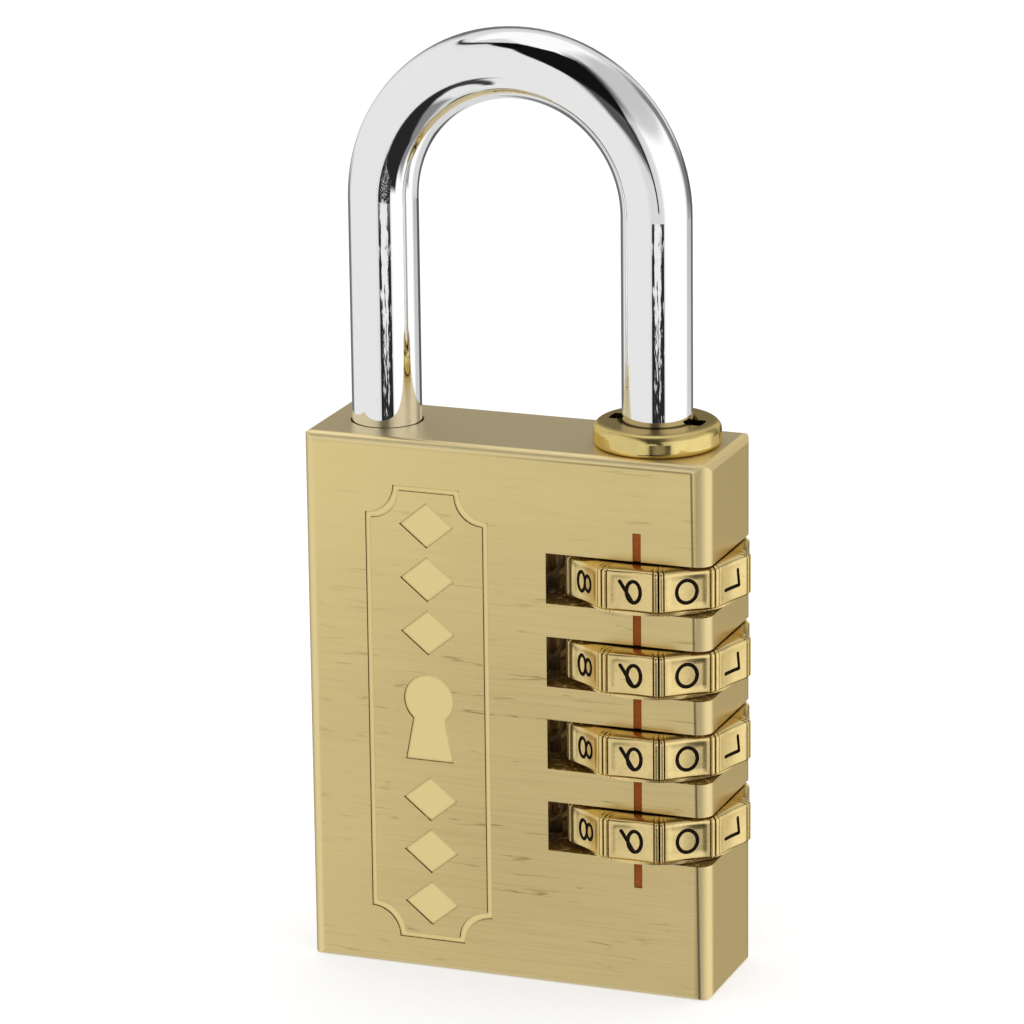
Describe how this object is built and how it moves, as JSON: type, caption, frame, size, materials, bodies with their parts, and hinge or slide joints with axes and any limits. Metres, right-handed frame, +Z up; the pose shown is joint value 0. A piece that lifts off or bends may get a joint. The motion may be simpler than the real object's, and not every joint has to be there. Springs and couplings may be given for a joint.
{
  "type": "combination padlock",
  "caption": "Brass combination padlock with a steel shackle that lifts when its numbered side dials line up with the index line.",
  "frame": {"origin": "centre of the block's flat bottom face", "axes": "+Z up along the shackle legs, -Y out of the engraved front face, +X toward the side where the dials stand out"},
  "size_m": [0.0418, 0.0174, 0.0899],
  "materials": {
    "satin_brass": "brushed",
    "bright_brass": "polished",
    "dial_brass": "turned, with black numerals",
    "chrome": "polished plate",
    "steel": "plain",
    "red_paint": "satin enamel in a groove"
  },
  "bodies": {
    "lock_body": {"lock_body": "satin_brass", "shackle_collar": "bright_brass", "collar_pin": "steel", "click_spring": "steel", "hub_spring": "steel", "shackle_spring": "steel", "spring_post": "steel", "bottom_plate": "satin_brass", "plate_pins": "steel", "index_marks": "red_paint"},
    "shackle": {"shackle": "chrome"},
    "dial_1": {"dial_1": "dial_brass"},
    "dial_2": {"dial_2": "dial_brass"},
    "dial_3": {"dial_3": "dial_brass"},
    "dial_4": {"dial_4": "dial_brass"},
    "hub_1": {"hub_1": "steel"},
    "hub_2": {"hub_2": "steel"},
    "hub_3": {"hub_3": "steel"},
    "hub_4": {"hub_4": "steel", "thrust_washer": "steel"}
  },
  "joints": [
    {"name": "shackle_lift", "type": "slide", "parent": "lock_body", "child": "shackle", "axis": [0, 0, 1], "range_m": [0, 0.00805], "deforming": ["shackle_spring"]},
    {"name": "dial_1_turn", "type": "hinge", "parent": "lock_body", "child": "dial_1", "pos_m": [0.0129, 0, 0.04], "axis": [0, 0, 1], "continuous": true},
    {"name": "dial_2_turn", "type": "hinge", "parent": "lock_body", "child": "dial_2", "pos_m": [0.0129, 0, 0.03195], "axis": [0, 0, 1], "continuous": true},
    {"name": "dial_3_turn", "type": "hinge", "parent": "lock_body", "child": "dial_3", "pos_m": [0.0129, 0, 0.0239], "axis": [0, 0, 1], "continuous": true},
    {"name": "dial_4_turn", "type": "hinge", "parent": "lock_body", "child": "dial_4", "pos_m": [0.0129, 0, 0.01585], "axis": [0, 0, 1], "continuous": true},
    {"name": "hub_1_shift", "type": "slide", "parent": "dial_1", "child": "hub_1", "axis": [0, 0, -1], "range_m": [0, 0.0012]},
    {"name": "hub_2_shift", "type": "slide", "parent": "dial_2", "child": "hub_2", "axis": [0, 0, -1], "range_m": [0, 0.0012]},
    {"name": "hub_3_shift", "type": "slide", "parent": "dial_3", "child": "hub_3", "axis": [0, 0, -1], "range_m": [0, 0.0012]},
    {"name": "hub_4_shift", "type": "slide", "parent": "dial_4", "child": "hub_4", "axis": [0, 0, -1], "range_m": [0, 0.0012], "stiffness_N_per_m": 1500, "springref_m": -0.002, "deforming": ["hub_spring"]}
  ],
  "couplings": [
    {"joint": "hub_1_shift", "follows": "hub_4_shift", "ratio": 1},
    {"joint": "hub_2_shift", "follows": "hub_4_shift", "ratio": 1},
    {"joint": "hub_3_shift", "follows": "hub_4_shift", "ratio": 1}
  ]
}
